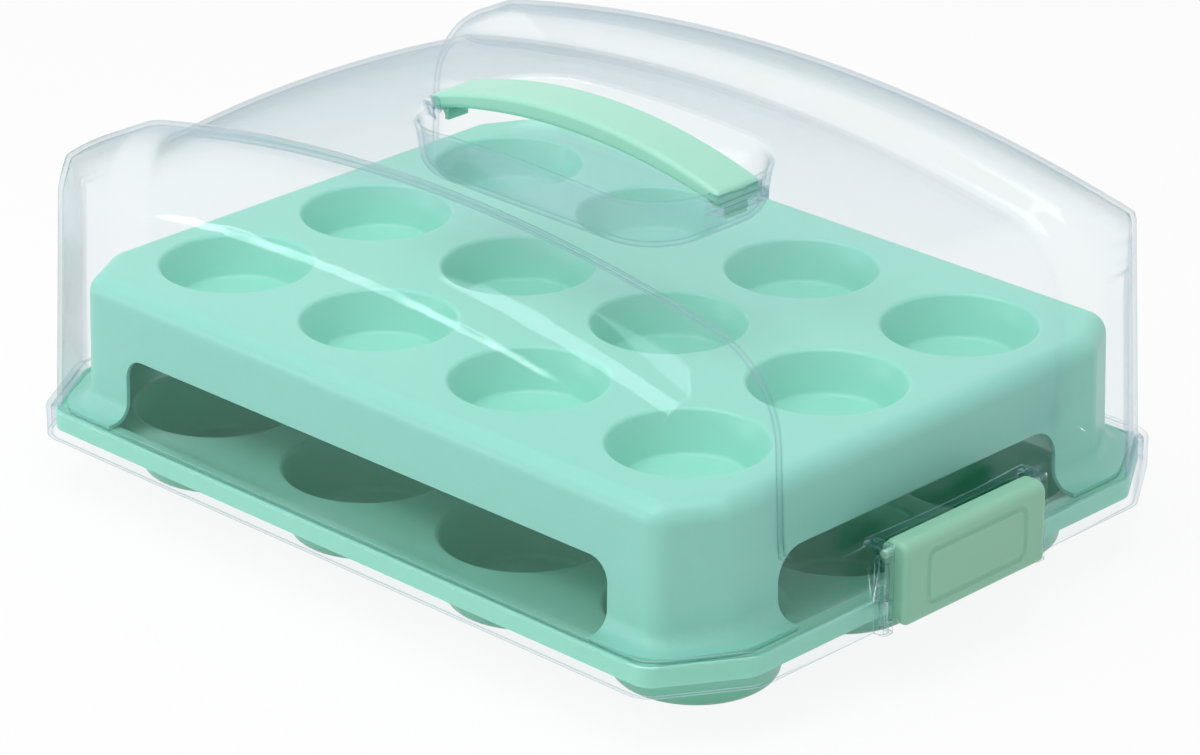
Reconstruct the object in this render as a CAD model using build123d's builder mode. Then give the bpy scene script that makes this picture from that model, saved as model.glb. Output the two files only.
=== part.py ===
from build123d import *
import math
import os

# A two-tier carrier for muffins: a tray with wells, a second tier that stands on the tray's
# rim, and a clear hood that two hinged clips hold to the tray.
# The origin lies under the middle of the tray, on the plane of the well bottoms.
# X runs along the length, Y across the width and Z up. All sizes are in millimetres.

# Clearances between pieces
seat_gap = 0.3
pin_clearance = 0.05
clip_side_gap = 0.4

# How far cutting bodies run past what they cut, and how near a level an edge is picked
cut_spare = 20.0
foot_spare = 1.0
level_reach = 0.1

# Hood skirt, seen from above a rectangle with cut corners
skirt_length = 413.8
skirt_width = 316.4
corner_cut_x = 26.1
corner_cut_y = 40.8
corner_radius = 14.0
skirt_bottom = 25.0
skirt_top = 38.9
skirt_edge_radius = 1.2
hood_wall = 2.0

# Hood walls and roof
wall_step = 4.4
wall_draft = 2.5
wall_corner_radius = 13.0
roof_height = 177.8
roof_radius = 800.0
end_radius = 48.0
shoulder_radius = 40.0
shoulder_inset = 47.6
shoulder_lift = 0.1
end_lift = 0.2

# Valley between the two humps, and the recess that it runs into at each end
hump_inset = 60.4
hump_slope_run = 8.8
valley_depth = 9.5
valley_rise = 5.5
sill_height = 61.5
sill_corner_radius = 28.0
recess_spare = 6.0
brow_radius = 10.0
brow_meet_angle = 4.0
valley_floor_radius = 8.0

# Finger well under the handle
grip_length = 160.0
grip_width = 90.0
grip_corner_radius = 32.0
grip_depth = 30.8
grip_draft = 8.0
grip_floor_radius = 8.0
grip_rim_radius = 3.0

# Handle
handle_overhang = 5.0
handle_width = 26.0
handle_rise = 4.9
handle_thickness = 8.7
handle_top_sag = 13.0
handle_underside_sag = 11.0
handle_edge_radius = 2.5
foot_length = 6.0
foot_drop = 15.3
foot_height = 3.0
tab_thickness = 2.0
tab_width = 12.0
tab_inset = 1.5
tab_length = 6.0
barb_reach = 1.0
barb_height = 2.0

# Base tray
rim_gap = 2.2
tray_wall = 2.2
bead_width = 2.1
hem_edge_radius = 0.8
platform_drop = 0.9
platform_width = 7.0
slope_width = 8.5
deck_top = 30.0
tray_margin_x = 21.7
tray_margin_y = 29.0
tray_well_gap_x = 22.0
tray_well_gap_y = 14.0
tray_well_flare = 2.5
tray_lip_radius = 2.5
tray_floor_radius = 3.0
columns = 4
rows = 3

# Muffin insert
insert_wall = 2.0
insert_inset_x = 19.6
insert_inset_y = 17.9
insert_cut_x = 16.0
insert_cut_y = 28.0
insert_corner_radius = 12.0
insert_top = 97.4
insert_draft = 1.3
insert_edge_radius = 9.0
foot_reach = 10.4
foot_flare_radius = 8.0
foot_pad_width = 2.4
foot_pad_height = 0.2
insert_margin_x = 18.6
insert_margin_y = 23.3
insert_well_gap_x = 22.6
insert_well_gap_y = 15.9
insert_well_flare = 7.7
insert_well_depth = 18.0
insert_lip_radius = 2.5
insert_floor_radius = 3.0
leg_length_x = 42.3
side_window_top = 67.0
side_window_radius = 10.0
leg_length_y = 54.3
end_window_top = 66.0
end_window_radius = 14.0

# Clips, with the catches that they hook under
clip_width = 87.2
clip_face_out = 10.8
clip_bottom = 28.3
clip_wall = 2.2
hinge_out = 1.6
hinge_z = 59.5
barrel_radius = 4.9
clip_back_angle = 210.0
pin_radius = 2.0
pin_reach = 3.8
clip_edge_radius = 5.0
clip_foot_radius = 2.5
clip_side_radius = 1.0
clip_side_foot_out = 4.1
catch_width = 75.0
catch_reach = 4.6
catch_bottom = 32.5
catch_height = 3.1
hook_width = 72.0
hook_thickness = 2.7
hook_gap = 1.5
hook_lead_radius = 1.2
panel_length = 61.0
panel_height = 24.0
panel_radius = 4.0
panel_centre_z = 46.0
groove_width = 0.9
groove_depth = 0.5

# Hinge cheeks of the hood, one on each side of each clip
cheek_width = 6.7
cheek_front_out = 5.6
cheek_top = 63.6
cheek_wall = 1.8
cheek_edge_radius = 2.0
boss_radius = 4.1
cheek_slot_height = 9.0
cheek_slot_bottom = 31.0
cheek_slot_width = 2.9

# Levels and half sizes that follow from the values above
ledge_underside = skirt_top - hood_wall
bead_top = ledge_underside - seat_gap
platform_top = bead_top - platform_drop
insert_bottom = platform_top + seat_gap
roof_centre_z = roof_height - roof_radius
skirt_x = skirt_length / 2
skirt_y = skirt_width / 2
wall_base_x = skirt_x - wall_step
wall_sin = math.sin(math.radians(wall_draft))
wall_cos = math.cos(math.radians(wall_draft))
wall_tan = math.tan(math.radians(wall_draft))
hump_edge = skirt_y - hump_inset
shoulder_start = skirt_y - shoulder_inset
valley_edge = hump_edge - hump_slope_run
slope_lean_y = math.atan2(valley_depth, hump_slope_run)
brow_meet = math.radians(brow_meet_angle)
brow_angles = [slope_lean_y, (slope_lean_y + brow_meet) / 2, brow_meet]
clip_face_x = skirt_x + clip_face_out
clip_side_foot = skirt_x + clip_side_foot_out
hinge_x = skirt_x + hinge_out
cheek_front_x = skirt_x + cheek_front_out
cheek_inner = clip_width / 2 + clip_side_gap
cheek_outer = cheek_inner + cheek_width
above_roof = roof_height + cut_spare
past_end = skirt_x + cut_spare
past_side = skirt_y + cut_spare

# Finger well and handle, which hang from the roof
grip_floor = roof_height - grip_depth
handle_length = grip_length + 2 * handle_overhang
handle_top = roof_height + handle_rise
handle_underside = handle_top - handle_thickness
foot_bottom = roof_height - foot_drop

# The tray's rim, platform, slope and deck, as insets from the rim's outline and as levels
rim_x = skirt_x - hood_wall - rim_gap
rim_y = skirt_y - hood_wall - rim_gap
rim_corner = corner_radius - hood_wall - rim_gap
platform_under = platform_top - tray_wall
deck_under = deck_top - tray_wall
platform_in = bead_width + platform_width
slope_in = platform_in + slope_width
slope_lean = math.atan2(platform_top - deck_top, slope_width)
slope_shift = tray_wall * math.tan(slope_lean / 2)

# Wells of both tiers: their pitches fill the tier, and the tighter pitch sets their radius
tray_pitch_x = (2 * (rim_x - tray_margin_x) + tray_well_gap_x) / columns
tray_pitch_y = (2 * (rim_y - tray_margin_y) + tray_well_gap_y) / rows
tray_well_mouth = min(tray_pitch_x - tray_well_gap_x, tray_pitch_y - tray_well_gap_y) / 2
tray_well_foot = tray_well_mouth - tray_well_flare
insert_length = skirt_length - 2 * insert_inset_x
insert_width = skirt_width - 2 * insert_inset_y
insert_pitch_x = (insert_length - 2 * insert_margin_x + insert_well_gap_x) / columns
insert_pitch_y = (insert_width - 2 * insert_margin_y + insert_well_gap_y) / rows
insert_well_mouth = min(insert_pitch_x - insert_well_gap_x, insert_pitch_y - insert_well_gap_y) / 2
insert_well_floor = insert_well_mouth - insert_well_flare
side_window_length = insert_length - 2 * leg_length_x
end_window_length = insert_width - 2 * leg_length_y

# Centre of the rounding between roof and end wall: it touches the leaning end wall and the roof
wall_reach = wall_base_x * wall_cos + skirt_top * wall_sin
centre_across = wall_reach - end_radius - roof_centre_z * wall_sin
centre_along = math.sqrt((roof_radius - end_radius) ** 2 - centre_across**2)
end_centre_x = centre_across * wall_cos - centre_along * wall_sin
end_centre_z = roof_centre_z + centre_across * wall_sin + centre_along * wall_cos
roof_angle = math.degrees(math.atan2(end_centre_z - roof_centre_z, end_centre_x))

# Ways to seat a box or a cylinder on the point where it is placed
upwards = (Align.CENTER, Align.CENTER, Align.MIN)
outwards = (Align.MIN, Align.MIN, Align.MIN)


def cut_corner_points(length, width, cut_x, cut_y, inset):
    """Corners of a rectangle with cut corners whose edges all lie inset inside."""
    half_x = length / 2
    half_y = width / 2
    normal = math.hypot(cut_x, cut_y)
    reach = (cut_y * (half_x - cut_x) + cut_x * half_y) / normal - inset
    side_y = half_y - inset
    side_x = (reach * normal - cut_x * side_y) / cut_y
    end_x = half_x - inset
    end_y = (reach * normal - cut_y * end_x) / cut_x
    quarter = [(end_x, end_y), (side_x, side_y)]
    points = quarter + [(-x, y) for x, y in reversed(quarter)]
    return points + [(-x, -y) for x, y in points]


def skirt_points(inset):
    """Corners of the hood skirt's outline, moved inwards by inset."""
    return cut_corner_points(skirt_length, skirt_width, corner_cut_x, corner_cut_y, inset)


def rim_points(inset):
    """Corners of the tray's outline, moved inwards by inset."""
    return skirt_points(hood_wall + rim_gap + inset)


def insert_points(inset):
    """Corners of the insert's outline at its foot, moved inwards by inset."""
    return cut_corner_points(insert_length, insert_width, insert_cut_x, insert_cut_y, inset)


def wall_points(level, inset):
    """Corners of the hood walls' outline at a level; its end sides clear the end walls."""
    cut_x = corner_cut_x + end_lift
    cut_y = corner_cut_y * cut_x / corner_cut_x
    lean = (level - skirt_top) * wall_tan
    return cut_corner_points(skirt_length + 2 * end_lift, skirt_width, cut_x, cut_y, wall_step + inset + lean)


def outline(level, points, radius):
    """Face at a level with rounded corners."""
    with BuildSketch(Plane.XY.offset(level)) as face:
        with BuildLine():
            Polyline(*points, close=True)
        make_face()
        fillet(face.vertices(), radius)
    return face.sketch


def side_outline(inset):
    """Lengthwise outline of roof and end walls, moved inwards by inset."""
    foot_x = (wall_reach - inset - skirt_bottom * wall_sin) / wall_cos
    arc_radius = end_radius - inset
    arc_x = end_centre_x + arc_radius * wall_cos
    arc_z = end_centre_z + arc_radius * wall_sin
    end_arc = roof_angle - wall_draft
    with BuildSketch(Plane.XZ) as face:
        with BuildLine():
            Line((-foot_x, skirt_bottom), (foot_x, skirt_bottom))
            Line((foot_x, skirt_bottom), (arc_x, arc_z))
            CenterArc((end_centre_x, end_centre_z), arc_radius, wall_draft, end_arc)
            CenterArc((0, roof_centre_z), roof_radius - inset, roof_angle, 180 - 2 * roof_angle)
            CenterArc((-end_centre_x, end_centre_z), arc_radius, 180 - roof_angle, end_arc)
            Line((-arc_x, arc_z), (-foot_x, skirt_bottom))
        make_face()
    return face.sketch


def band_section(plane, inset):
    """Section of the space over the valley, between the two humps."""
    step = inset * math.tan(slope_lean_y / 2)
    floor_y = valley_edge + step
    floor_z = -valley_depth - inset
    crown = (0, floor_z + valley_rise)
    radius = brow_radius - inset
    brow_y = hump_edge + step + radius * math.tan(slope_lean_y / 2)
    brow_z = -inset - radius
    brow = [(brow_y - radius * math.sin(a), brow_z + radius * math.cos(a)) for a in brow_angles]
    lift = valley_depth / 2
    top_y = brow[-1][0] + lift / math.tan(brow_angles[-1])
    top_z = brow[-1][1] + lift
    with BuildSketch(plane) as face:
        with BuildLine():
            Polyline(crown, (0, top_z), (top_y, top_z), brow[-1])
            ThreePointArc(*brow)
            Line(brow[0], (floor_y, floor_z))
            whole_crown = ThreePointArc((floor_y, floor_z), crown, (-floor_y, floor_z), mode=Mode.PRIVATE)
            add(whole_crown.trim(0, 0.5))
        make_face()
        mirror(about=Plane.YZ)
        low_corners = face.vertices().sort_by(Axis.Y)[:2]
        fillet(low_corners, valley_floor_radius + inset)
    return face.sketch


def valley_space(inset):
    """Space that the valley takes out of the roof and of both ends."""
    roof_turn = 90 - roof_angle
    end_turn = roof_angle - wall_draft
    arc_start_x = end_centre_x + end_radius * wall_cos
    arc_start_z = end_centre_z + end_radius * wall_sin
    crown_plane = Plane((0, 0, roof_height), x_dir=(0, 1, 0), z_dir=(1, 0, 0))
    wall_plane = Plane((arc_start_x, 0, arc_start_z), x_dir=(0, 1, 0), z_dir=(wall_sin, 0, -wall_cos))
    roof_axis = Axis((0, 0, roof_centre_z), (0, 1, 0))
    end_axis = Axis((end_centre_x, 0, end_centre_z), (0, 1, 0))
    spare = recess_spare + inset
    with BuildPart() as space:
        revolve(band_section(crown_plane, inset), axis=roof_axis, revolution_arc=roof_turn)
        revolve(band_section(wall_plane, inset), axis=end_axis, revolution_arc=-end_turn)
        extrude(band_section(wall_plane, inset), amount=arc_start_z)
        with BuildSketch(Plane.YZ) as recess:
            with Locations((0, sill_height - inset)):
                Rectangle(2 * (hump_edge + spare), above_roof, align=(Align.CENTER, Align.MIN))
            fillet(recess.vertices().sort_by(Axis.Y)[:2], sill_corner_radius + spare)
        extrude(amount=past_end, mode=Mode.INTERSECT)
        mirror(about=Plane.YZ)
    return space.part


def shoulder_form(inset):
    """Solid that rounds the roof off along both long sides, moved inwards by inset."""
    radius = shoulder_radius - inset
    centre_z = roof_height - shoulder_radius + shoulder_lift
    outer_y = shoulder_start + radius
    low_z = centre_z - shoulder_radius
    turn = math.degrees(math.asin(-past_end / roof_centre_z))
    with BuildPart() as form:
        with BuildSketch(Plane.YZ) as section:
            with BuildLine():
                Polyline((shoulder_start, centre_z + radius), (shoulder_start, above_roof), (0, above_roof))
                Polyline((0, above_roof), (0, 0), (past_side, 0), (past_side, low_z), (outer_y, centre_z))
                CenterArc((shoulder_start, centre_z), radius, 0, 90)
            make_face()
            mirror(about=Plane.YZ)
        revolve(axis=Axis((0, 0, roof_centre_z), (0, 1, 0)), revolution_arc=turn)
        mirror(about=Plane.YZ)
    return form.part


def hood_form(inset):
    """Solid inside the hood's outer surface, with that surface moved inwards by inset."""
    low = ledge_underside - foot_spare
    corner = wall_corner_radius - inset
    well_floor = grip_floor - inset
    well_depth = roof_height - well_floor
    well_shrink = 2 * (well_depth * math.tan(math.radians(grip_draft)) - inset)
    well_corner = grip_corner_radius - well_shrink / 2
    rest_spare = 2 * (seat_gap + inset)
    with BuildPart() as form:
        extrude(side_outline(inset), amount=past_side, both=True)
        low_face = outline(low, wall_points(low, inset), corner)
        high_face = outline(above_roof, wall_points(above_roof, inset), corner)
        loft([low_face, high_face], ruled=True, mode=Mode.INTERSECT)
        add(shoulder_form(inset), mode=Mode.INTERSECT)
        add(valley_space(inset), mode=Mode.SUBTRACT)
        with BuildSketch(Plane.XY.offset(well_floor)):
            RectangleRounded(grip_length - well_shrink, grip_width - well_shrink, well_corner)
        extrude(amount=above_roof - well_floor, taper=-grip_draft, mode=Mode.SUBTRACT)
        level_edges = near_level(form.edges(), well_floor)
        fillet([edge for edge in level_edges if over_grip(edge)], grip_floor_radius + inset)
        rim_edges = [edge for edge in form.edges() if on_grip_rim(edge, well_floor)]
        fillet(rim_edges, grip_rim_radius - inset)
        with BuildSketch(Plane.XY.offset(foot_bottom - seat_gap - inset)):
            Rectangle(handle_length + rest_spare, handle_width + rest_spare)
        extrude(amount=above_roof - foot_bottom, mode=Mode.SUBTRACT)
    return form.part


def near_level(items, level):
    """The edges or faces whose centre lies on a level."""
    return items.filter_by_position(Axis.Z, level - level_reach, level + level_reach)


def over_grip(edge):
    """Whether an edge lies in the finger well, seen from above."""
    middle = edge @ 0.5
    return abs(middle.X) < grip_length / 2 + seat_gap and abs(middle.Y) < grip_width / 2 + seat_gap


def on_grip_rim(edge, well_floor):
    """Whether an edge lies on the mouth of the finger well."""
    return over_grip(edge) and min((edge @ 0).Z, (edge @ 1).Z) > (well_floor + foot_bottom) / 2


def at_four_corners(piece):
    """The piece at one corner together with its mirror images at the other three."""
    with BuildPart() as four:
        add(piece)
        mirror(about=Plane.XZ)
        mirror(about=Plane.YZ)
    return four.part


def cheek_block():
    """Solid cheek beside a clip, before it is hollowed."""
    inner_x = wall_base_x - hood_wall
    height = cheek_top - skirt_bottom
    with BuildPart() as block:
        with Locations((inner_x, cheek_inner, skirt_bottom)):
            Box(cheek_front_x - inner_x, cheek_width, height, align=outwards)
        front = block.faces().sort_by(Axis.X)[-1]
        upper = front.edges().filter_by_position(Axis.Z, skirt_bottom + level_reach, above_roof)
        fillet(upper, cheek_edge_radius)
    return block.part


def cheek_hollow():
    """Space inside a cheek: open below, slotted in front, with a blind pin hole in its boss."""
    inner_x = skirt_x - hood_wall
    size_x = cheek_front_x - cheek_wall - inner_x
    size_y = cheek_width - 2 * cheek_wall
    centre_y = (cheek_inner + cheek_outer) / 2
    height = cheek_top - cheek_wall - skirt_bottom
    boss_plane = Plane((hinge_x, cheek_inner, hinge_z), x_dir=(1, 0, 0), z_dir=(0, 1, 0))
    with BuildPart() as hollow:
        with Locations((inner_x + size_x / 2, centre_y, skirt_bottom)):
            Box(size_x, size_y, height, align=upwards)
        with Locations((cheek_front_x, centre_y, cheek_slot_bottom)):
            Box(3 * cheek_wall, cheek_slot_width, cheek_slot_height, align=upwards)
        with Locations(boss_plane):
            Cylinder(boss_radius, cheek_width, align=upwards, mode=Mode.SUBTRACT)
            Cylinder(pin_radius + pin_clearance, pin_reach + clip_side_gap, align=upwards)
    return hollow.part


def slope_space(top_level, top_inset, foot_level, foot_inset):
    """Space over a slope of the tray, between its top and foot outlines."""
    top = outline(top_level, rim_points(top_inset), rim_corner)
    foot = outline(foot_level, rim_points(foot_inset), rim_corner)
    with BuildPart() as space:
        loft([foot, top], ruled=True)
    return space.part


def rim_hollow():
    """Space under the rim, between the hem and the underside of platform and slope."""
    inside_hem = outline(deck_under, rim_points(tray_wall), rim_corner - tray_wall)
    with BuildPart() as hollow:
        extrude(inside_hem, amount=platform_under - deck_under)
        core = slope_space(platform_under, platform_in - slope_shift, deck_under, slope_in - slope_shift)
        add(core, mode=Mode.SUBTRACT)
    return hollow.part


def cup_form(foot_radius, mouth_radius, floor_level, mouth_level, edge_radius):
    """Solid cone of a well, with its floor edge rounded."""
    with BuildPart() as form:
        with BuildSketch(Plane.XZ) as section:
            with BuildLine():
                foot = (foot_radius, floor_level)
                mouth = (mouth_radius, mouth_level)
                Polyline((0, floor_level), foot, mouth, (0, mouth_level), close=True)
            make_face()
            low_corners = section.vertices().sort_by(Axis.Y)[:2]
            fillet(low_corners.sort_by(Axis.X)[-1], edge_radius)
        revolve(axis=Axis.Z)
    return form.part


def lip_edges(part, level, radius):
    """Circles of the well mouths on a level."""
    circles = near_level(part.edges().filter_by(GeomType.CIRCLE), level)
    return [edge for edge in circles if abs(edge.radius - radius) < level_reach]


def insert_form(inset, plate_bottom, plate_top, reach):
    """Drafted block of the insert with its rounded top edge and a flared foot."""
    lean = math.tan(math.radians(insert_draft))
    top = insert_top - inset
    corner = insert_corner_radius - inset
    low_face = outline(plate_bottom, insert_points(inset + (plate_bottom - insert_bottom) * lean), corner)
    top_face = outline(top, insert_points(inset + (top - insert_bottom) * lean), corner)
    with BuildPart() as form:
        loft([low_face, top_face], ruled=True)
        fillet(form.faces().sort_by(Axis.Z)[-1].edges(), insert_edge_radius - inset)
        plate = outline(plate_bottom, insert_points(inset - reach), corner + reach)
        extrude(plate, amount=plate_top - plate_bottom)
        ledge = near_level(form.faces(), plate_top)[0]
        fillet(ledge.inner_wires()[0].edges(), foot_flare_radius + inset)
    return form.part


def window_space(plane, length, top, radius, depth):
    """Window space with rounded top corners, open below, that runs depth both ways from a plane."""
    with BuildPart() as space:
        with BuildSketch(plane) as face:
            with Locations((0, top)):
                Rectangle(length, 2 * (top - insert_bottom), align=(Align.CENTER, Align.MAX))
            fillet(face.vertices().sort_by(Axis.Y)[-2:], radius)
        extrude(amount=depth, both=True)
    return space.part


def barrel_point(radius):
    """Point at a radius about the hinge axis, where the clip's barrel ends at the back."""
    angle = math.radians(clip_back_angle)
    return hinge_x + radius * math.cos(angle), hinge_z + radius * math.sin(angle)


def clip_outline(inset, back_points):
    """Side outline of the clip moved inwards by inset; its back runs through the given points."""
    face_x = clip_face_x - inset
    foot = clip_bottom + inset
    radius = barrel_radius - inset
    top = hinge_z + radius
    edge = clip_edge_radius - inset
    low_edge = clip_foot_radius - inset
    with BuildSketch(Plane.XZ) as face:
        with BuildLine():
            Polyline(barrel_point(radius), *back_points, (face_x - low_edge, foot))
            CenterArc((face_x - low_edge, foot + low_edge), low_edge, -90, 90)
            Line((face_x, foot + low_edge), (face_x, top - edge))
            CenterArc((face_x - edge, top - edge), edge, 0, 90)
            Line((face_x - edge, top), (hinge_x, top))
            CenterArc((hinge_x, hinge_z), radius, 90, clip_back_angle - 90)
        make_face()
    return face.sketch


def clip_pins():
    """Stub pins that stand out of both side plates of the clip."""
    root_y = clip_width / 2 - clip_wall
    with BuildPart() as pins:
        with Locations(Plane((hinge_x, root_y, hinge_z), x_dir=(1, 0, 0), z_dir=(0, 1, 0))):
            Cylinder(pin_radius, clip_wall + pin_reach, align=upwards)
        mirror(about=Plane.XZ)
    return pins.part


def clip_groove():
    """Shallow groove round the panel on the clip's face."""
    face_plane = Plane((clip_face_x, 0, panel_centre_z), x_dir=(0, 1, 0), z_dir=(1, 0, 0))
    inner_length = panel_length - 2 * groove_width
    inner_height = panel_height - 2 * groove_width
    with BuildPart() as groove:
        with BuildSketch(face_plane):
            RectangleRounded(panel_length, panel_height, panel_radius)
            RectangleRounded(inner_length, inner_height, panel_radius - groove_width, mode=Mode.SUBTRACT)
        extrude(amount=groove_depth, both=True)
    return groove.part


def clip_form():
    """Clip at the +X end: a cover with side plates, stub pins at the top and a hook at the foot."""
    behind = barrel_point(2 * barrel_radius)
    hook_x = rim_x + hook_gap
    hook_length = clip_face_x - clip_wall / 2 - hook_x
    pocket = clip_outline(clip_wall, [behind, (behind[0], clip_bottom + clip_wall)])
    with BuildPart() as form:
        extrude(clip_outline(0, [(clip_side_foot, clip_bottom)]), amount=clip_width / 2, both=True)
        ends = form.faces().sort_by(Axis.Y)
        fillet(ends[0].edges() + ends[-1].edges(), clip_side_radius)
        extrude(pocket, amount=clip_width / 2 - clip_wall, both=True, mode=Mode.SUBTRACT)
        with Locations((hook_x, 0, catch_bottom - seat_gap)):
            Box(hook_length, hook_width, hook_thickness, align=(Align.MIN, Align.CENTER, Align.MAX))
        tip_edges = form.edges().filter_by(Axis.Y).sort_by(Axis.X)[:2]
        fillet(tip_edges.sort_by(Axis.Z)[0], hook_lead_radius)
        add(clip_pins())
        add(clip_groove(), mode=Mode.SUBTRACT)
    return form.part


os.makedirs("parts", exist_ok=True)

# Hood: one clear moulding with skirt, walls, humped roof, finger well and hinge cheeks
with BuildPart() as hood:
    extrude(outline(skirt_bottom, skirt_points(0), corner_radius), amount=skirt_top - skirt_bottom)
    fillet(hood.faces().sort_by(Axis.Z)[-1].edges(), skirt_edge_radius)
    add(hood_form(0))
    add(at_four_corners(cheek_block()))
    skirt_inside = outline(skirt_bottom, skirt_points(hood_wall), corner_radius - hood_wall)
    extrude(skirt_inside, amount=ledge_underside - skirt_bottom, mode=Mode.SUBTRACT)
    add(hood_form(hood_wall), mode=Mode.SUBTRACT)
    add(at_four_corners(cheek_hollow()), mode=Mode.SUBTRACT)
    clip_gap_length = 2 * (past_end - wall_base_x + 2 * hood_wall)
    clip_gap_height = skirt_top + seat_gap - skirt_bottom
    with Locations((past_end, 0, skirt_bottom), (-past_end, 0, skirt_bottom)):
        Box(clip_gap_length, 2 * cheek_inner, clip_gap_height, align=upwards, mode=Mode.SUBTRACT)
    tab_x = handle_length / 2 - tab_inset - tab_thickness / 2
    with Locations((tab_x, 0, foot_bottom - 2 * hood_wall), (-tab_x, 0, foot_bottom - 2 * hood_wall)):
        slot_size = tab_thickness + 2 * seat_gap
        Box(slot_size, tab_width + 2 * seat_gap, 2 * hood_wall, align=upwards, mode=Mode.SUBTRACT)
hood.part.label = "hood"
export_step(hood.part, "parts/hood.step")

# Handle: an arched strap with a foot and a snap tab at each end
handle_half = handle_length / 2
top_end = handle_top - handle_top_sag
low_end = handle_underside - handle_underside_sag
tab_out = handle_half - tab_inset
tab_in = tab_out - tab_thickness
barb_top = foot_bottom - hood_wall - 2 * seat_gap
with BuildPart() as handle:
    with BuildSketch(Plane.XZ) as strap:
        with BuildLine():
            ThreePointArc((-handle_half, top_end), (0, handle_top), (handle_half, top_end))
            Line((handle_half, top_end), (handle_half, low_end))
            ThreePointArc((handle_half, low_end), (0, handle_underside), (-handle_half, low_end))
            Line((-handle_half, low_end), (-handle_half, top_end))
        make_face()
    extrude(amount=handle_width / 2, both=True)
    fillet(handle.edges().filter_by(GeomType.CIRCLE), handle_edge_radius)
    foot_x = handle_half - foot_length / 2
    with Locations((foot_x, 0, foot_bottom), (-foot_x, 0, foot_bottom)):
        Box(foot_length, handle_width - 2 * handle_edge_radius, foot_height, align=upwards)
    with BuildSketch(Plane.XZ) as tab:
        with BuildLine():
            tab_top = foot_bottom + foot_height / 2
            tab_bottom = foot_bottom - tab_length
            barb_tip = (tab_out + barb_reach, barb_top)
            Polyline((tab_in, tab_bottom), (tab_in, tab_top), (tab_out, tab_top))
            Polyline((tab_out, tab_top), (tab_out, barb_top), barb_tip)
            Polyline(barb_tip, (tab_out, barb_top - barb_height), (tab_out, tab_bottom), (tab_in, tab_bottom))
        make_face()
        mirror(about=Plane.YZ)
    extrude(amount=tab_width / 2, both=True)
handle.part.label = "handle"
export_step(handle.part, "parts/handle.step")

# Base tray: a rim with a bead, a platform for the insert, a slope and a deck with wells
shell_mouth = tray_well_mouth + tray_wall
tray_shell = cup_form(tray_well_foot, shell_mouth, 0, deck_top - tray_wall / 2, tray_floor_radius + tray_wall)
tray_space = cup_form(tray_well_foot - tray_wall, tray_well_mouth, tray_wall, deck_top, tray_floor_radius)
with BuildPart() as base_tray:
    extrude(outline(deck_under, rim_points(0), rim_corner), amount=bead_top - deck_under)
    fillet(base_tray.faces().sort_by(Axis.Z)[-1].edges(), hem_edge_radius)
    inside_bead = outline(platform_top, rim_points(bead_width), rim_corner - bead_width)
    extrude(inside_bead, amount=platform_drop, mode=Mode.SUBTRACT)
    add(slope_space(platform_top, platform_in, deck_top, slope_in), mode=Mode.SUBTRACT)
    add(rim_hollow(), mode=Mode.SUBTRACT)
    with GridLocations(tray_pitch_x, tray_pitch_y, columns, rows):
        add(tray_shell)
    with GridLocations(tray_pitch_x, tray_pitch_y, columns, rows):
        add(tray_space, mode=Mode.SUBTRACT)
    fillet(lip_edges(base_tray, deck_top, tray_well_mouth), tray_lip_radius)
    catch_length = catch_reach + tray_wall / 2
    catch_x = rim_x + catch_reach - catch_length / 2
    with Locations((catch_x, 0, catch_bottom), (-catch_x, 0, catch_bottom)):
        Box(catch_length, catch_width, catch_height, align=upwards)
base_tray.part.label = "base_tray"
export_step(base_tray.part, "parts/base_tray.step")

# Muffin insert: a drafted box with wells in its top, cut away below into four corner legs
shell_foot = insert_well_floor + insert_wall
shell_floor = insert_top - insert_well_depth - insert_wall
shell_lip = insert_well_mouth + insert_wall
shell_radius = insert_floor_radius + insert_wall
insert_shell = cup_form(shell_foot, shell_lip, shell_floor, insert_top - insert_wall / 2, shell_radius)
well_floor = insert_top - insert_well_depth
insert_space = cup_form(insert_well_floor, insert_well_mouth, well_floor, insert_top, insert_floor_radius)
with BuildPart() as muffin_insert:
    add(insert_form(0, insert_bottom, insert_bottom + insert_wall, foot_reach))
    hollow_bottom = insert_bottom - insert_wall
    hollow_reach = foot_reach - foot_pad_width + insert_wall
    inner_form = insert_form(insert_wall, hollow_bottom, insert_bottom + foot_pad_height, hollow_reach)
    add(inner_form, mode=Mode.SUBTRACT)
    side_window = window_space(Plane.XZ, side_window_length, side_window_top, side_window_radius, past_side)
    add(side_window, mode=Mode.SUBTRACT)
    end_window = window_space(Plane.YZ, end_window_length, end_window_top, end_window_radius, past_end)
    add(end_window, mode=Mode.SUBTRACT)
    with GridLocations(insert_pitch_x, insert_pitch_y, columns, rows):
        add(insert_shell)
    with GridLocations(insert_pitch_x, insert_pitch_y, columns, rows):
        add(insert_space, mode=Mode.SUBTRACT)
    fillet(lip_edges(muffin_insert, insert_top, insert_well_mouth), insert_lip_radius)
muffin_insert.part.label = "muffin_insert"
export_step(muffin_insert.part, "parts/muffin_insert.step")

# Clips: the same moulding at both ends
with BuildPart() as clip_right:
    add(clip_form())
clip_right.part.label = "clip_right"
export_step(clip_right.part, "parts/clip_right.step")

with BuildPart() as clip_left:
    mirror(clip_form(), about=Plane.YZ)
clip_left.part.label = "clip_left"
export_step(clip_left.part, "parts/clip_left.step")
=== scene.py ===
"""Looks of a two-tier carrier for muffins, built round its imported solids."""

import logging
import math
from collections.abc import Callable, Sequence
from dataclasses import dataclass
from enum import Enum

import bmesh
import bpy
from mathutils import Matrix, Vector


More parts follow.
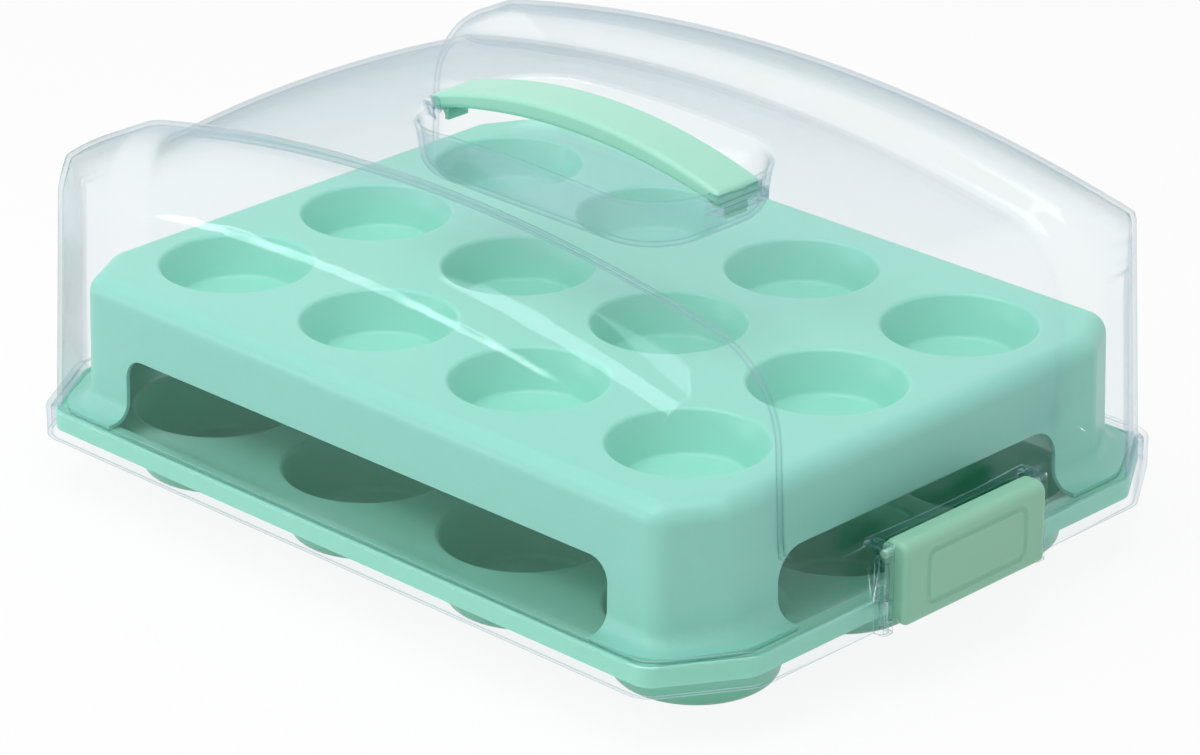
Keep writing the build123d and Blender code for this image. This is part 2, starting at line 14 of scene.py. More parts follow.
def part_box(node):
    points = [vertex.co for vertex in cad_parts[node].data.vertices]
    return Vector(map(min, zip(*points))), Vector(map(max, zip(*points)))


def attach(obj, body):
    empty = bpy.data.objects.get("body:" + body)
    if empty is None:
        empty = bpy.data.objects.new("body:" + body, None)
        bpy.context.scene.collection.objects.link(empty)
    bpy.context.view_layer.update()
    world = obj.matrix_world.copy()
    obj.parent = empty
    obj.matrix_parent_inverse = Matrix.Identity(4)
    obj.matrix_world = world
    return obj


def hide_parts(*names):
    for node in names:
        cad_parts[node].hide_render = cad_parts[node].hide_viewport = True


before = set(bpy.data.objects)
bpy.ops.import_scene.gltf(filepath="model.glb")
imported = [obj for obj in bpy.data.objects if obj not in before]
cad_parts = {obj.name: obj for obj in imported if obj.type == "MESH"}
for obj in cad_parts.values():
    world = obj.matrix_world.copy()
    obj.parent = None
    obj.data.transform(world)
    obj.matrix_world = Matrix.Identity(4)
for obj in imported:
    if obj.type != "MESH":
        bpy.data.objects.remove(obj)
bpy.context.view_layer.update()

LOG = logging.getLogger("muffin_carrier")
MM = 0.001
MERGE_DISTANCE = 0.002 * MM
FLAT_WEIGHT = 60
ALIGNED = 0.9

Colour = tuple[float, float, float]
Node = bpy.types.Node
Socket = bpy.types.NodeSocket
Piece = bpy.types.Object


class Body(str, Enum):
    """Bodies that the pieces ride on."""

    TRAY = "base_tray"
    INSERT = "muffin_insert"
    HOOD = "hood"
    CLIP_RIGHT = "clip_right"
    CLIP_LEFT = "clip_left"


class Element(str, Enum):
    """What an edit-mode selection picks."""

    VERTEX = "VERT"
    EDGE = "EDGE"
    FACE = "FACE"


class End(int, Enum):
    """Ends of the carrier, as the sign of X."""

    LEFT = -1
    RIGHT = 1


class Term:
    """A number in a shader: it wraps one socket, and arithmetic on it adds Math nodes."""

    def __init__(self, board: "Board", socket: Socket) -> None:
        """Wraps a socket.

        Args:
            board: The node board that the socket belongs to.
            socket: The output socket that carries the number.
        """
        self.board = board
        self.socket = socket

    def math(self, operation: str, *values: object) -> "Term":
        """Adds one Math node.

        Args:
            operation: Blender's name of the operation.
            values: Terms or numbers for the node's inputs, in order.

        Returns:
            The node's result.
        """
        node = self.board.node("ShaderNodeMath", {"operation": operation}, dict(enumerate(values)))
        return Term(self.board, node.outputs[0])

    def __add__(self, other: object) -> "Term":
        """Adds."""
        return self.math("ADD", self, other)

    def __radd__(self, other: object) -> "Term":
        """Adds, from the right."""
        return self.math("ADD", other, self)

    def __sub__(self, other: object) -> "Term":
        """Subtracts."""
        return self.math("SUBTRACT", self, other)

    def __rsub__(self, other: object) -> "Term":
        """Subtracts from the other value."""
        return self.math("SUBTRACT", other, self)

    def __mul__(self, other: object) -> "Term":
        """Multiplies."""
        return self.math("MULTIPLY", self, other)

    def __rmul__(self, other: object) -> "Term":
        """Multiplies, from the right."""
        return self.math("MULTIPLY", other, self)

    def highest(self, other: object) -> "Term":
        """Takes the larger of two values.

        Args:
            other: A term or a number.

        Returns:
            The larger value.
        """
        return self.math("MAXIMUM", self, other)


class Board:
    """Node board of one material or of the world."""

    def __init__(self, tree: bpy.types.NodeTree) -> None:
        """Clears the tree and keeps it.

        Args:
            tree: The node tree to fill.
        """
        self.tree = tree
        tree.nodes.clear()

    def node(
        self,
        kind: str,
        settings: dict[str, object] | None = None,
        inputs: dict[object, object] | None = None,
    ) -> Node:
        """Adds a node, sets it up and fills its inputs.

        Args:
            kind: Blender's name of the node type.
            settings: Attributes of the node, set first.
            inputs: Values, sockets or terms by the input's name or number.

        Returns:
            The new node.
        """
        node = self.tree.nodes.new(kind)
        for name, value in (settings or {}).items():
            setattr(node, name, value)
        for name, value in (inputs or {}).items():
            socket = node.inputs[name]
            if isinstance(value, Term):
                self.tree.links.new(value.socket, socket)
            elif isinstance(value, Socket):
                self.tree.links.new(value, socket)
            elif isinstance(value, tuple) and socket.type == "RGBA":
                socket.default_value = (*value, 1.0)
            else:
                socket.default_value = value
        return node

    def place(self) -> Socket:
        """Gives the Object coordinates.

        Returns:
            The socket that carries them.
        """
        return self.node("ShaderNodeTexCoord").outputs["Object"]

    def noise(self, scale: float, detail: float, roughness: float = 0.5) -> Term:
        """Adds a noise on Object coordinates.

        Args:
            scale: Features per metre.
            detail: Number of finer layers.
            roughness: Share that each finer layer keeps.

        Returns:
            The noise's factor, from 0 to 1.
        """
        values = {"Vector": self.place(), "Scale": scale, "Detail": detail, "Roughness": roughness}
        return Term(self, self.node("ShaderNodeTexNoise", {}, values).outputs[0])

    def blend(self, share: Term, first: object, second: object) -> Socket:
        """Mixes two colours.

        Args:
            share: How much of the second colour shows.
            first: Colour where the share is 0.
            second: Colour where the share is 1.

        Returns:
            The mixed colour.
        """
        inputs = {0: share, 6: first, 7: second}
        return self.node("ShaderNodeMix", {"data_type": "RGBA"}, inputs).outputs[2]

    def bump(
        self,
        height: Term,
        strength: float,
        distance: float,
        under: Socket | None = None,
    ) -> Socket:
        """Adds a bump.

        Args:
            height: Height of the relief, from 0 to 1.
            strength: How much of the bump shows.
            distance: Real height of the relief, in metres.
            under: Normal of a coarser bump that this one lies on.

        Returns:
            The bent normal.
        """
        values = {"Height": height, "Strength": strength, "Distance": distance}
        if under is not None:
            values["Normal"] = under
        return self.node("ShaderNodeBump", {}, values).outputs[0]

    def seen(self) -> Term:
        """Tells rays that show a surface from rays that only light one.

        Returns:
            1 for camera, glossy and transmitted rays, and 0 for the others.
        """
        path = self.node("ShaderNodeLightPath")
        seen = Term(self, path.outputs["Is Camera Ray"]).highest(Term(self, path.outputs["Is Glossy Ray"]))
        return seen.highest(Term(self, path.outputs["Is Transmission Ray"]))


@dataclass(frozen=True)
class MouldedPlastic:
    """Opaque satin plastic, with faint flow clouds and the fine grain of its mould."""

    name: str
    colour: Colour
    cloud_colour: Colour
    roughness: float = 0.36
    refraction: float = 1.49
    cloud_scale: float = 14.0
    cloud_detail: float = 3.0
    cloud_spread: float = 0.08
    grain_scale: float = 900.0
    grain_detail: float = 2.0
    grain_spread: float = 0.10
    grain_height: float = 0.00006
    grain_share: float = 0.2
    ripple_scale: float = 22.0
    ripple_detail: float = 1.0
    ripple_height: float = 0.0004
    ripple_share: float = 0.25
    glow: float = 0.25
    glow_depth: float = 0.006
    glow_reach: Colour = (0.5, 1.0, 0.8)

    def material(self) -> bpy.types.Material:
        """Makes the material.

        Returns:
            The material, with all of its nodes.
        """
        made = bpy.data.materials.new(self.name)
        made.use_nodes = True
        board = Board(made.node_tree)
        cloud = board.noise(self.cloud_scale, self.cloud_detail)
        grain = board.noise(self.grain_scale, self.grain_detail)
        ripple = board.noise(self.ripple_scale, self.ripple_detail)
        coarse = board.bump(ripple, self.ripple_share, self.ripple_height)
        fine = board.bump(grain, self.grain_share, self.grain_height, coarse)
        uneven = self.grain_spread * (grain - 0.5) + self.cloud_spread * (cloud - 0.5)
        shader = board.node(
            "ShaderNodeBsdfPrincipled",
            {},
            {
                "Base Color": board.blend(cloud, self.colour, self.cloud_colour),
                "Roughness": self.roughness + uneven,
                "IOR": self.refraction,
                "Subsurface Weight": self.glow,
                "Subsurface Scale": self.glow_depth,
                "Subsurface Radius": self.glow_reach,
                "Normal": fine,
            },
        )
        board.node("ShaderNodeOutputMaterial", {}, {"Surface": shader.outputs[0]})
        return made


@dataclass(frozen=True)
class ClearPlastic:
    """Thin clear plastic: it lets light straight through, and mirrors more where it turns away."""

    name: str
    passing_colour: Colour
    face_colour: Colour
    rim_colour: Colour
    face_share: float = 0.02
    rim_share: float = 0.85
    rim_power: float = 4.0
    edge_share: float = 2.4
    edge_radius: float = 0.0013
    edge_samples: int = 4
    highest_share: float = 0.9
    roughness: float = 0.03
    smear: float = 0.06
    smear_scale: float = 30.0
    smear_detail: float = 3.0
    wave_scale: float = 9.0
    wave_detail: float = 1.0
    wave_height: float = 0.0006
    wave_share: float = 0.15

    def mirror_share(self, board: Board, facing: Term) -> Term:
        """Says how much of the surface mirrors: more at grazing angles and on sharp edges.

        Args:
            board: The material's node board.
            facing: How far the surface turns away from the view, from 0 to 1.

        Returns:
            The share, from 0 to just under 1.
        """
        turned = facing.math("POWER", facing, self.rim_power)
        rounded = board.node("ShaderNodeBevel", {"samples": self.edge_samples}, {"Radius": self.edge_radius})
        plain = board.node("ShaderNodeNewGeometry").outputs["Normal"]
        pair = {0: rounded.outputs[0], 1: plain}
        bent = board.node("ShaderNodeVectorMath", {"operation": "DOT_PRODUCT"}, pair).outputs["Value"]
        edge = (1 - Term(board, bent)).highest(0.0)
        share = self.face_share + self.rim_share * turned + self.edge_share * edge
        return share.math("MINIMUM", share, self.highest_share)

    def material(self) -> bpy.types.Material:
        """Makes the material.

        Returns:
            The material, with all of its nodes.
        """
        made = bpy.data.materials.new(self.name)
        made.use_nodes = True
        board = Board(made.node_tree)
        handled = board.noise(self.smear_scale, self.smear_detail)
        wave = board.noise(self.wave_scale, self.wave_detail)
        facing = Term(board, board.node("ShaderNodeLayerWeight", {}, {"Blend": 0.5}).outputs["Facing"])
        mirror = board.node(
            "ShaderNodeBsdfPrincipled",
            {},
            {
                "Base Color": board.blend(facing, self.face_colour, self.rim_colour),
                "Metallic": 1.0,
                "Roughness": self.roughness + self.smear * handled,
                "Normal": board.bump(wave, self.wave_share, self.wave_height),
            },
        )
        passing = board.node("ShaderNodeBsdfTransparent", {}, {"Color": self.passing_colour})
        share = self.mirror_share(board, facing)
        parts = {0: share, 1: passing.outputs[0], 2: mirror.outputs[0]}
        mixed = board.node("ShaderNodeMixShader", {}, parts)
        board.node("ShaderNodeOutputMaterial", {}, {"Surface": mixed.outputs[0]})
        return made


class Bench:
    """Modelling moves that the pieces share."""

    @staticmethod
    def clear() -> None:
        """Leaves edit mode and deselects everything."""
        if bpy.context.object is not None and bpy.context.object.mode != "OBJECT":
            bpy.ops.object.mode_set(mode="OBJECT")
        bpy.ops.object.select_all(action="DESELECT")

    @staticmethod
    def take(piece: Piece) -> None:
        """Selects one piece alone and makes it active.

        Args:
            piece: The piece to work on.
        """
        Bench.clear()
        piece.select_set(True)
        bpy.context.view_layer.objects.active = piece

    @staticmethod
    def edit(piece: Piece) -> None:
        """Opens a piece in edit mode with nothing selected.

        Args:
            piece: The piece to edit.
        """
        Bench.take(piece)
        bpy.ops.object.mode_set(mode="EDIT")
        bpy.ops.mesh.select_all(action="DESELECT")

    @staticmethod
    def pick(kind: Element, test: Callable[[object], bool]) -> int:
        """Selects the elements of the open mesh that pass a test.

        Args:
            kind: Vertices, edges or faces.
            test: Called with each element; true selects it.

        Returns:
            How many were selected.
        """
        bpy.ops.mesh.select_mode(type=kind.value)
        bpy.ops.mesh.select_all(action="DESELECT")
        mesh = bmesh.from_edit_mesh(bpy.context.object.data)
        groups = {Element.VERTEX: mesh.verts, Element.EDGE: mesh.edges, Element.FACE: mesh.faces}
        chosen = [item for item in groups[kind] if test(item)]
        for item in chosen:
            item.select_set(True)
        mesh.select_flush_mode()
        bmesh.update_edit_mesh(bpy.context.object.data)
        return len(chosen)

    @staticmethod
    def middle(edge: bmesh.types.BMEdge) -> Vector:
        """Gives the middle of an edge.

        Args:
            edge: An edge of the open mesh.

        Returns:
            The point halfway between its ends.
        """
        return (edge.verts[0].co + edge.verts[1].co) / 2

    @staticmethod
    def along(edge: bmesh.types.BMEdge) -> Vector:
        """Gives the direction of an edge.

        Args:
            edge: An edge of the open mesh.

        Returns:
            A vector of length 1 along it.
        """
        return (edge.verts[1].co - edge.verts[0].co).normalized()

    @staticmethod
    def block(name: str, low: Sequence[float], high: Sequence[float]) -> Piece:
        """Adds a cube primitive that fills a box, with its place in its mesh.

        Args:
            name: Name of the piece.
            low: Lowest corner, in metres.
            high: Highest corner, in metres.

        Returns:
            The new piece.
        """
        Bench.clear()
        centre = [(a + b) / 2 for a, b in zip(low, high)]
        size = [b - a for a, b in zip(low, high)]
        bpy.ops.mesh.primitive_cube_add(size=1.0, location=centre, scale=size)
        piece = bpy.context.object
        piece.name = name
        piece.data.name = name
        bpy.ops.object.transform_apply(location=True, rotation=True, scale=True)
        return piece

    @staticmethod
    def apply(piece: Piece, kind: str, **settings: object) -> None:
        """Adds a modifier and applies it.

        Args:
            piece: The piece to change.
            kind: Blender's name of the modifier type.
            settings: The modifier's attributes.
        """
        Bench.take(piece)
        modifier = piece.modifiers.new(kind.title(), kind)
        for name, value in settings.items():
            setattr(modifier, name, value)
        bpy.ops.object.modifier_apply(modifier=modifier.name)

    @staticmethod
    def cut(piece: Piece, tool: Piece, operation: str) -> None:
        """Joins a piece with a tool body, or cuts it, and removes the tool body.

        Args:
            piece: The piece to change.
            tool: The body to add or take away.
            operation: UNION or DIFFERENCE.
        """
        Bench.apply(piece, "BOOLEAN", object=tool, operation=operation, solver="EXACT")
        bpy.data.objects.remove(tool)

    @staticmethod
    def smooth(piece: Piece, degrees: float) -> None:
        """Shades a piece smooth, apart from its sharp edges, with its flat faces kept flat.

        Args:
            piece: The piece to shade.
            degrees: Edges that turn by more than this stay sharp.
        """
        Bench.take(piece)
        bpy.ops.object.shade_smooth_by_angle(angle=math.radians(degrees))
        Bench.apply(piece, "WEIGHTED_NORMAL", keep_sharp=True, weight=FLAT_WEIGHT)

    @staticmethod
    def copy_of(node: str, name: str, degrees: float) -> Piece:
        """Copies a solid's mesh, merges its loose triangles and shades it smooth.

        Args:
            node: Name of the solid.
            name: Name of the copy.
            degrees: Edges that turn by more than this stay sharp.

        Returns:
            The copy.
        """
        piece = bpy.data.objects.new(name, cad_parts[node].data.copy())
        bpy.context.scene.collection.objects.link(piece)
        Bench.edit(piece)
        bpy.ops.mesh.select_all(action="SELECT")
        bpy.ops.mesh.remove_doubles(threshold=MERGE_DISTANCE)
        Bench.clear()
        Bench.smooth(piece, degrees)
        return piece

    @staticmethod
    def dress(piece: Piece, material: bpy.types.Material, slot: str, body: Body, *nodes: str) -> None:
        """Gives a piece its material and its body, and hides the solids that it stands for.

        Args:
            piece: The finished piece.
            material: Its finish.
            slot: Not used.
            body: The body that the piece rides on.
            nodes: The solids that it stands for.
        """
        piece.data.materials.clear()
        piece.data.materials.append(material)
        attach(piece, body.value)
        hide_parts(*nodes)
        LOG.info("%s: %d faces", piece.name, len(piece.data.polygons))


@dataclass
class BaseTray:
    """Lower tier: a tray with twelve wells and a catch at each end."""

    finish: MouldedPlastic
    sharp_degrees: float = 28.0

    def build(self) -> None:
        """Makes the tray's shell."""
        shell = Bench.copy_of("base_tray", "tray_shell", self.sharp_degrees)
        Bench.dress(shell, self.finish.material(), "tray_mint", Body.TRAY, "base_tray")


@dataclass
class MuffinInsert:
    """Upper tier: a drafted box with twelve wells in its top, on four corner legs."""

    finish: MouldedPlastic
    sharp_degrees: float = 28.0

    def build(self) -> None:
        """Makes the insert's shell."""
        shell = Bench.copy_of("muffin_insert", "insert_shell", self.sharp_degrees)
        Bench.dress(shell, self.finish.material(), "insert_mint", Body.INSERT, "muffin_insert")


@dataclass
class ClearHood:
    """Clear moulding with a humped roof, a finger well and a skirt."""

    finish: ClearPlastic
    sharp_degrees: float = 24.0

    def build(self) -> None:
        """Makes the hood's shell."""
        shell = Bench.copy_of("hood", "hood_shell", self.sharp_degrees)
        Bench.dress(shell, self.finish.material(), "hood_clear", Body.HOOD, "hood")


@dataclass
class CarryHandle:
    """Arched strap over the finger well, with a foot and a snap tab at each end."""

    finish: MouldedPlastic
    length: float = 170.0 * MM
    width: float = 26.0 * MM
    top: float = 182.7 * MM
    top_radius: float = 284.4 * MM
    underside: float = 174.0 * MM
    underside_radius: float = 333.9 * MM
    edge_radius: float = 2.4 * MM
    edge_steps: int = 6
    corner_degrees: float = 45.0
    foot_length: float = 6.0 * MM
    foot_inset: float = 0.2 * MM
    foot_bottom: float = 162.5 * MM
    foot_rounding: float = 0.5 * MM
    foot_overlap: float = 2.0 * MM
    tab_width: float = 12.0 * MM
    tab_thickness: float = 2.0 * MM
    tab_length: float = 6.0 * MM
    tab_inset: float = 1.5 * MM
    tab_overlap: float = 1.0 * MM
    tab_rows: int = 4
    barb_reach: float = 0.9 * MM
    barb_drop: float = 2.6 * MM
    columns: int = 40
    sharp_degrees: float = 32.0

    def sink(self, x: float, radius: float) -> float:
        """Says how far an arch has come down from its crown.

        Args:
            x: Distance from the middle.
            radius: Radius of the arch.

        Returns:
            The drop, in metres.
        """
        return radius - math.sqrt(radius**2 - x**2)

    def strap(self) -> Piece:
        """Makes the arched strap from a block, column by column.

        Returns:
            The strap, with its long edges rounded.
        """
        half = self.length / 2
        low = (-half, -self.width / 2, self.underside)
        high = (half, self.width / 2, self.top)
        piece = Bench.block("handle_strap", low, high)
        Bench.edit(piece)
        Bench.pick(Element.EDGE, lambda e: abs(Bench.along(e).x) > ALIGNED)
        bpy.ops.mesh.subdivide(number_cuts=self.columns - 1)
        level = (self.top + self.underside) / 2
        near = self.length / self.columns / 4
        for column in range(self.columns + 1):
            x = -half + column * self.length / self.columns
            for upper, radius in ((False, self.underside_radius), (True, self.top_radius)):
                Bench.pick(
                    Element.VERTEX,
                    lambda v: abs(v.co.x - x) < near and (v.co.z > level) == upper,
                )
                bpy.ops.transform.translate(value=(0.0, 0.0, -self.sink(x, radius)))
        corner = math.radians(self.corner_degrees)
        Bench.pick(Element.EDGE, lambda e: e.is_manifold and e.calc_face_angle() > corner)
        bpy.ops.mesh.bevel(offset=self.edge_radius, segments=self.edge_steps, profile=0.5, affect="EDGES")
        Bench.clear()
        return piece

    def foot(self, end: End) -> Piece:
        """Makes one foot, which stands in the hood's slot.

        Args:
            end: Which end of the strap.

        Returns:
            The foot.
        """
        half = self.length / 2
        xs = sorted((end * (half - self.foot_length), end * (half - self.foot_inset)))
        side = self.width / 2 - self.edge_radius
        top = self.underside - self.sink(half, self.underside_radius) + self.foot_overlap
        piece = Bench.block("handle_foot", (xs[0], -side, self.foot_bottom), (xs[1], side, top))
        Bench.apply(piece, "BEVEL", width=self.foot_rounding, segments=2)
        return piece

    def tab(self, end: End) -> Piece:
        """Makes one snap tab with its barb.

        Args:
            end: Which end of the strap.

        Returns:
            The tab.
        """
        out = self.length / 2 - self.tab_inset
        inner = out - self.tab_thickness
        xs = sorted((end * inner, end * out))
        low = self.foot_bottom - self.tab_length
        side = self.tab_width / 2
        top = self.foot_bottom + self.tab_overlap
        piece = Bench.block("handle_tab", (xs[0], -side, low), (xs[1], side, top))
        Bench.edit(piece)
        Bench.pick(Element.EDGE, lambda e: abs(Bench.along(e).z) > ALIGNED)
        bpy.ops.mesh.subdivide(number_cuts=self.tab_rows - 1)
        level = self.foot_bottom - self.barb_drop
        near = self.tab_length / self.tab_rows / 2
        Bench.pick(
            Element.VERTEX,
            lambda v: v.co.x * end > (inner + out) / 2 and abs(v.co.z - level) < near,
        )
        bpy.ops.transform.translate(value=(end * self.barb_reach, 0.0, 0.0))
        Bench.clear()
        return piece

    def build(self) -> None:
        """Makes the handle as one moulding."""
        piece = self.strap()
        for end in End:
            Bench.cut(piece, self.foot(end), "UNION")
            Bench.cut(piece, self.tab(end), "UNION")
        Bench.smooth(piece, self.sharp_degrees)
        Bench.dress(piece, self.finish.material(), "handle_mint", Body.HOOD, "handle")


@dataclass
class EndClip:
    """Clip at one end: a hollow cover with stub pins at the top and a hook at the foot."""

    finish: MouldedPlastic
    end: End
    body: Body
    width: float = 87.2 * MM
    face_x: float = 217.7 * MM
    back_x: float = 203.9 * MM
    foot_back_x: float = 211.0 * MM
    bottom: float = 28.3 * MM
    top: float = 64.4 * MM
    wall: float = 2.2 * MM
    hinge_x: float = 208.5 * MM
    hinge_z: float = 59.5 * MM
    pin_radius: float = 2.0 * MM
    pin_reach: float = 3.8 * MM
    pin_sides: int = 40
    pin_rounding: float = 0.4 * MM
    brow_radius: float = 5.0 * MM
    nape_radius: float = 4.9 * MM
    brow_steps: int = 8
    foot_radius: float = 2.5 * MM
    side_radius: float = 2.8 * MM
    side_steps: int = 5
    hook_x: float = 204.2 * MM
    hook_top: float = 32.2 * MM
    hook_thickness: float = 2.7 * MM
    hook_width: float = 72.0 * MM
    hook_rounding: float = 1.0 * MM
    hook_steps: int = 4
    panel_length: float = 61.0 * MM
    panel_height: float = 24.0 * MM
    panel_radius: float = 4.0 * MM
    panel_steps: int = 8
    panel_z: float = 46.0 * MM
    groove_width: float = 0.9 * MM
    groove_depth: float = 0.9 * MM
    channel_radius: float = 1.6 * MM
    channel_steps: int = 4
    sharp_degrees: float = 32.0

    def cover(self) -> Piece:
        """Makes the hollow cover from a block.

        Returns:
            The cover, open at the back.
        """
        half = self.width / 2
        piece = Bench.block("clip_cover", (self.back_x, -half, self.bottom), (self.face_x, half, self.top))
        Bench.edit(piece)
        Bench.pick(
            Element.VERTEX,
            lambda v: v.co.x < self.back_x + MM and v.co.z < self.bottom + MM,
        )
        bpy.ops.transform.translate(value=(self.foot_back_x - self.back_x, 0.0, 0.0))
        self.round_edge(True, True, self.brow_radius, self.brow_steps)
        self.round_edge(False, True, self.nape_radius, self.brow_steps)
        self.round_edge(True, False, self.foot_radius, self.side_steps)
        Bench.pick(Element.FACE, lambda f: f.normal.x < -ALIGNED)
        bpy.ops.mesh.delete(type="FACE")
        Bench.pick(
            Element.EDGE,
            lambda e: e.is_manifold and any(abs(f.normal.y) > ALIGNED for f in e.link_faces),
        )
        bpy.ops.mesh.bevel(offset=self.side_radius, segments=self.side_steps, profile=0.5, affect="EDGES")
        Bench.clear()
        Bench.apply(piece, "SOLIDIFY", thickness=self.wall, offset=-1.0, use_even_offset=True)
        return piece

    def round_edge(self, front: bool, upper: bool, radius: float, segments: int) -> None:
        """Rounds one long edge of the open cover.

        Args:
            front: The edge on the face side, or else the one at the back.
            upper: The edge at the top, or else the one at the foot.
            radius: Radius of the rounding.
            segments: Steps of the rounding.
        """
        middle_x = (self.back_x + self.face_x) / 2
        middle_z = (self.bottom + self.top) / 2
        Bench.pick(
            Element.EDGE,
            lambda e: abs(Bench.along(e).y) > ALIGNED
            and (Bench.middle(e).x > middle_x) == front
            and (Bench.middle(e).z > middle_z) == upper,
        )
        bpy.ops.mesh.bevel(offset=radius, segments=segments, profile=0.5, affect="EDGES")

    def channel(self) -> Piece:
        """Makes a ring of round section that lies along the panel's outline on the face.

        Returns:
            The ring, as a tool body for the groove.
        """
        half = self.panel_length / 2 - self.groove_width / 2
        rise = self.panel_height / 2 - self.groove_width / 2
        centre_x = self.face_x + self.channel_radius - self.groove_depth
        low = (centre_x - self.wall, -half, self.panel_z - rise)
        piece = Bench.block("clip_channel", low, (centre_x, half, self.panel_z + rise))
        Bench.edit(piece)
        Bench.pick(Element.EDGE, lambda e: abs(Bench.along(e).x) > ALIGNED)
        bpy.ops.mesh.bevel(offset=self.panel_radius, segments=self.panel_steps, profile=0.5, affect="EDGES")
        Bench.pick(Element.FACE, lambda f: f.normal.x < ALIGNED)
        bpy.ops.mesh.delete(type="FACE")
        bpy.ops.mesh.select_all(action="SELECT")
        bpy.ops.mesh.delete(type="ONLY_FACE")
        Bench.take(piece)
        bpy.ops.object.convert(target="CURVE")
        piece.data.bevel_depth = self.channel_radius
        piece.data.bevel_resolution = self.channel_steps
        bpy.ops.object.convert(target="MESH")
        return piece

    def hook(self) -> Piece:
        """Makes the hook that catches under the tray.

        Returns:
            The hook.
        """
        half = self.hook_width / 2
        low = (self.hook_x, -half, self.hook_top - self.hook_thickness)
        high = (self.face_x - self.wall / 2, half, self.hook_top)
        piece = Bench.block("clip_hook", low, high)
        Bench.edit(piece)
        Bench.pick(
            Element.EDGE,
            lambda e: abs(Bench.along(e).y) > ALIGNED and Bench.middle(e).x < self.hook_x + MM,
        )
        bpy.ops.mesh.bevel(offset=self.hook_rounding, segments=self.hook_steps, profile=0.5, affect="EDGES")
        Bench.clear()
        return piece

    def pin(self, side: int) -> Piece:
        """Makes one stub pin.

        Args:
            side: 1 for the pin at +Y, -1 for the other.

        Returns:
            The pin.
        """
        root = self.width / 2 - self.wall / 2
        reach = self.wall / 2 + self.pin_reach
        Bench.clear()
        bpy.ops.mesh.primitive_cylinder_add(
            vertices=self.pin_sides,
            radius=self.pin_radius,
            depth=reach,
            location=(self.hinge_x, side * (root + reach / 2), self.hinge_z),
            rotation=(math.pi / 2, 0.0, 0.0),
        )
        piece = bpy.context.object
        bpy.ops.object.transform_apply(location=True, rotation=True, scale=True)
        Bench.edit(piece)
        Bench.pick(
            Element.EDGE,
            lambda e: abs(Bench.along(e).y) < 0.1 and side * Bench.middle(e).y > root + reach / 2,
        )
        bpy.ops.mesh.bevel(offset=self.pin_rounding, segments=3, profile=0.5, affect="EDGES")
        Bench.clear()
        return piece

    def build(self) -> None:
        """Makes the clip as one moulding."""
        piece = self.cover()
        Bench.cut(piece, self.channel(), "DIFFERENCE")
        Bench.cut(piece, self.hook(), "UNION")
        for side in (1, -1):
            Bench.cut(piece, self.pin(side), "UNION")
        piece.name = "clip_cover_" + self.end.name.lower()
        if self.end is End.LEFT:
            Bench.edit(piece)
            bpy.ops.mesh.select_all(action="SELECT")
            bpy.ops.transform.resize(value=(-1.0, 1.0, 1.0), center_override=(0.0, 0.0, 0.0))
            bpy.ops.mesh.flip_normals()
            Bench.clear()
        Bench.smooth(piece, self.sharp_degrees)
        Bench.dress(piece, self.finish.material(), "clip_mint", self.body, self.body.value)


@dataclass(frozen=True)
class SoftLamp:
    """Soft rectangular lamp that points at the carrier."""

    name: str
    place: tuple[float, float, float]
    width: float
    height: float
    power: float
    aim: tuple[float, float, float] = (0.0, 0.0, 0.09)

    def hang(self) -> None:
        """Adds the lamp to the scene."""
        light = bpy.data.lights.new(self.name, "AREA")
        light.shape = "RECTANGLE"
        light.size = self.width
        light.size_y = self.height
        light.energy = self.power
        lamp = bpy.data.objects.new(self.name, light)
        bpy.context.scene.collection.objects.link(lamp)
        lamp.location = self.place
        lamp.rotation_euler = (Vector(self.aim) - Vector(self.place)).to_track_quat("-Z", "Y").to_euler()


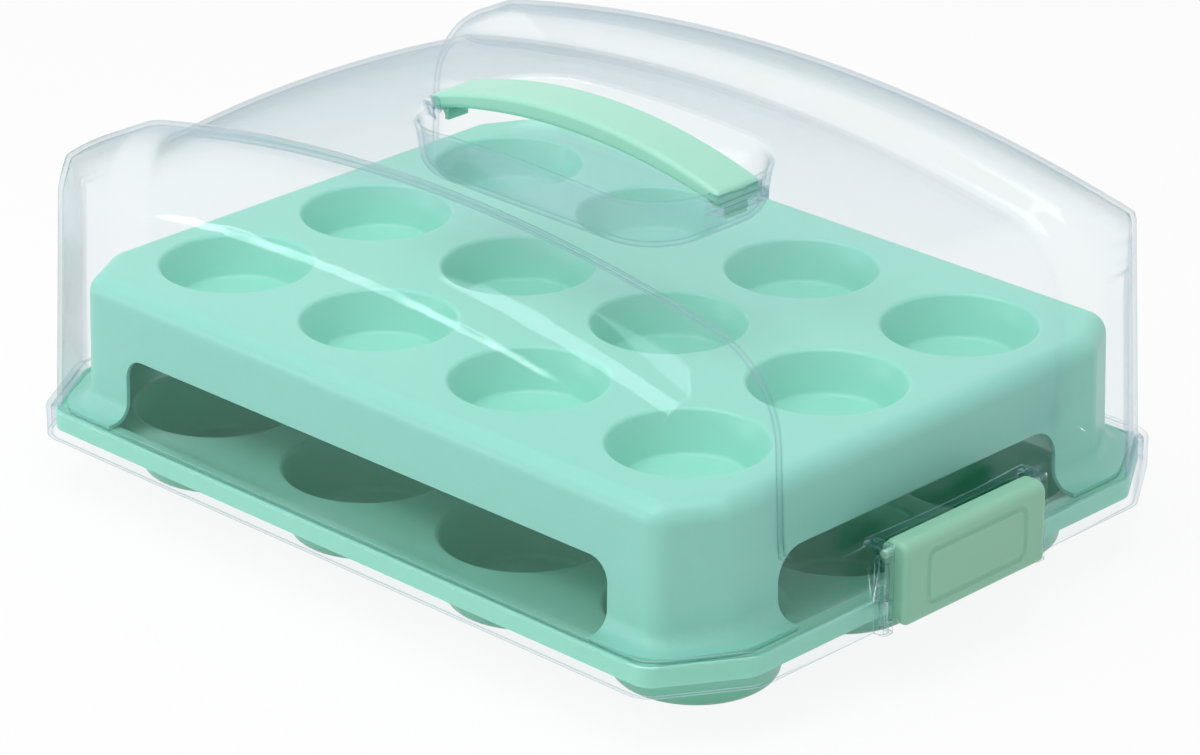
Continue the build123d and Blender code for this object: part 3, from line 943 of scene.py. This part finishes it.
@dataclass
class Studio:
    """Pale floor, soft lamps and the camera."""

    lamps: Sequence[SoftLamp]
    floor_size: float = 9.0
    floor_paint: Colour = (0.86, 0.86, 0.86)
    floor_glow: float = 0.90
    white: Colour = (1.0, 1.0, 1.0)
    lens: float = 149.2
    sensor: float = 36.0
    camera_place: tuple[float, float, float] = (1.3762, -1.4010, 0.9202)
    azimuth: float = 44.4
    elevation: float = 23.71
    roll: float = -0.11
    sight: float = 30.0
    world_light: float = 0.5
    clear_faces: int = 24

    def floor(self) -> None:
        """Makes the floor, which shows white with the object's shadow on it."""
        Bench.clear()
        bpy.ops.mesh.primitive_plane_add(size=self.floor_size, location=(0.0, 0.0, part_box("base_tray")[0].z))
        plane = bpy.context.object
        plane.name = "floor"
        bpy.ops.object.transform_apply(location=True, rotation=True, scale=True)
        made = bpy.data.materials.new("pale_floor")
        made.use_nodes = True
        board = Board(made.node_tree)
        paint = board.node("ShaderNodeBsdfDiffuse", {}, {"Color": self.floor_paint})
        glow = board.node("ShaderNodeEmission", {}, {"Color": self.white, "Strength": 1.0})
        mixed = board.node(
            "ShaderNodeMixShader",
            {},
            {0: board.seen() * self.floor_glow, 1: paint.outputs[0], 2: glow.outputs[0]},
        )
        board.node("ShaderNodeOutputMaterial", {}, {"Surface": mixed.outputs[0]})
        plane.data.materials.append(made)

    def sky(self) -> None:
        """Makes the world: white where it is seen, and softer as light."""
        world = bpy.data.worlds.new("studio")
        bpy.context.scene.world = world
        world.use_nodes = True
        board = Board(world.node_tree)
        seen = board.seen()
        strength = seen + (1 - seen) * self.world_light
        back = board.node("ShaderNodeBackground", {}, {"Color": self.white, "Strength": strength})
        board.node("ShaderNodeOutputWorld", {}, {"Surface": back.outputs[0]})

    def camera(self) -> None:
        """Places the camera at the photograph's viewing angle."""
        data = bpy.data.cameras.new("camera")
        data.lens = self.lens
        data.sensor_width = self.sensor
        data.clip_end = self.sight
        camera = bpy.data.objects.new("camera", data)
        bpy.context.scene.collection.objects.link(camera)
        turn = Matrix.Rotation(math.radians(self.azimuth), 4, "Z")
        tilt = Matrix.Rotation(math.radians(90.0 - self.elevation), 4, "X")
        roll = Matrix.Rotation(math.radians(self.roll), 4, "Z")
        camera.matrix_world = Matrix.Translation(self.camera_place) @ turn @ tilt @ roll
        bpy.context.scene.camera = camera

    def build(self) -> None:
        """Sets the stage."""
        self.floor()
        self.sky()
        for lamp in self.lamps:
            lamp.hang()
        self.camera()
        bpy.context.scene.view_settings.view_transform = "Standard"
        bpy.context.scene.cycles.transparent_max_bounces = self.clear_faces
        LOG.info("stage set")


def main() -> None:
    """Builds the carrier and its stage."""
    logging.basicConfig(level=logging.INFO, format="%(name)s: %(message)s")
    mint = MouldedPlastic("mint_insert", (0.32, 0.76, 0.625), (0.305, 0.75, 0.61))
    # The tray's mint is lighter than the insert's: partly the tray's own tone, partly painted light that lifts
    # the shaded deck under the insert.
    tray_mint = MouldedPlastic("mint_tray_painted_lift", (0.35, 0.83, 0.65), (0.335, 0.82, 0.635))
    handle_mint = MouldedPlastic("mint_handle", (0.37, 0.72, 0.58), (0.355, 0.71, 0.57))
    clip_mint = MouldedPlastic("mint_clip", (0.30, 0.61, 0.44), (0.29, 0.598, 0.43))
    clear = ClearPlastic("clear_hood", (0.985, 0.993, 0.995), (0.79, 0.88, 0.93), (0.19, 0.36, 0.45))
    BaseTray(tray_mint).build()
    MuffinInsert(mint).build()
    ClearHood(clear).build()
    CarryHandle(handle_mint).build()
    EndClip(clip_mint, End.RIGHT, Body.CLIP_RIGHT).build()
    EndClip(clip_mint, End.LEFT, Body.CLIP_LEFT).build()
    overhead = SoftLamp("overhead", (0.1, -0.25, 1.7), width=1.2, height=1.2, power=12.0)
    front = SoftLamp("front", (-0.45, -1.2, 1.4), width=1.2, height=0.5, power=8.4)
    low_left = SoftLamp("low_left", (-1.45, -1.72, 0.42), width=0.8, height=0.16, power=4.0)
    Studio((overhead, front, low_left)).build()


if __name__ == "__main__":
    main()
